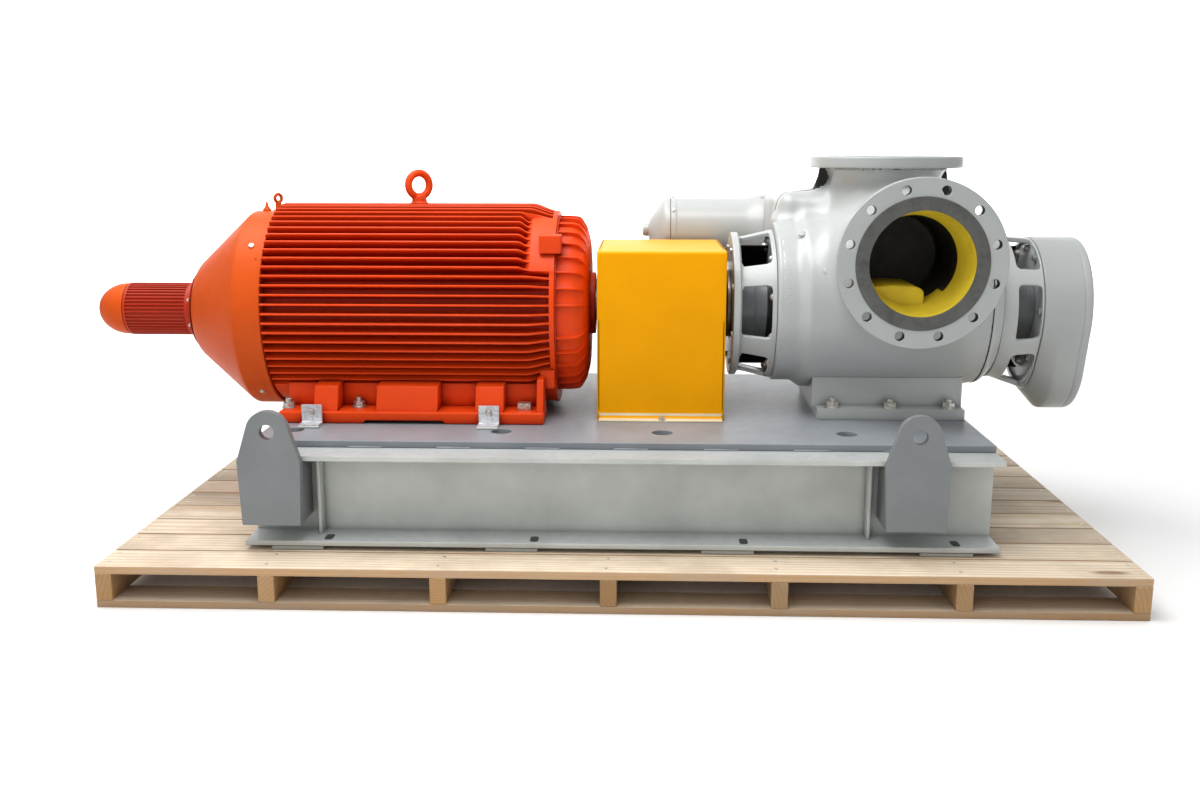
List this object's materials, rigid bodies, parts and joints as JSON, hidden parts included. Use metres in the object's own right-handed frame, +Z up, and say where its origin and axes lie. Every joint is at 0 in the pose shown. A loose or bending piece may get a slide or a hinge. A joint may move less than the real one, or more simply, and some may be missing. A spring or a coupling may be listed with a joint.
{
  "type": "gear pump unit",
  "caption": "Electric motor with cone fan hood, guarded coupling and flanged rotary pump with gear case, on a steel base frame and timber pallet.",
  "frame": {"origin": "on the floor under the middle of the whole unit with its pallet", "axes": "+X along the shaft from motor to pump, +Y to the rear away from the suction flange, +Z up"},
  "size_m": [2.648, 1.344, 1.022],
  "materials": {
    "motor_paint": "red-orange enamel, semi gloss",
    "hood_paint": "orange enamel, semi gloss",
    "fan_motor_paint": "dark red enamel",
    "guard_paint": "yellow-orange enamel",
    "pump_paint": "light grey gloss enamel",
    "base_paint": "grey satin paint",
    "lug_paint": "darker grey satin paint",
    "machined_steel": "turned steel",
    "zinc_steel": "zinc plated",
    "pallet_pine": "sawn pine"
  },
  "bodies": {
    "unit": {"coupling_guard": "guard_paint", "drive_end_bracket": "pump_paint", "drive_end_cover": "pump_paint", "fan_motor_barrel": "fan_motor_paint", "fan_motor_dome": "hood_paint", "front_rail": "base_paint", "gear_case": "pump_paint", "gear_case_cover": "pump_paint", "gear_end_bearing_housing": "pump_paint", "gear_end_bracket": "pump_paint", "gear_end_cover": "pump_paint", "hood_lifting_eye": "hood_paint", "jacking_bracket_front_left": "zinc_steel", "jacking_bracket_front_right": "zinc_steel", "jacking_bracket_rear_left": "zinc_steel", "jacking_bracket_rear_right": "zinc_steel", "left_cross_beam": "base_paint", "lifting_lug_front_left": "lug_paint", "lifting_lug_front_right": "lug_paint", "lifting_lug_rear_left": "lug_paint", "lifting_lug_rear_right": "lug_paint", "motor_drive_shield": "motor_paint", "motor_fan_hood": "hood_paint", "motor_foot_front": "motor_paint", "motor_foot_rear": "motor_paint", "motor_frame": "motor_paint", "motor_lifting_eye": "motor_paint", "motor_terminal_box": "motor_paint", "pallet_bearers": "pallet_pine", "pallet_deck": "pallet_pine", "pump_bearing_cover": "machined_steel", "pump_bearing_housing": "pump_paint", "pump_casing": "pump_paint", "pump_pedestal": "pump_paint", "rear_rail": "base_paint", "relief_valve_body": "pump_paint", "relief_valve_cap": "pump_paint", "right_cross_beam": "base_paint", "top_plate": "base_paint"},
    "drive_shaft": {"motor_shaft": "machined_steel", "motor_coupling_hub": "machined_steel", "coupling_spacer": "machined_steel", "pump_coupling_hub": "machined_steel", "pump_shaft": "machined_steel"}
  },
  "joints": [
    {"name": "shaft_hinge", "type": "hinge", "parent": "unit", "child": "drive_shaft", "pos_m": [0.205, 0, 0.6304], "axis": [1, 0, 0], "continuous": true}
  ]
}
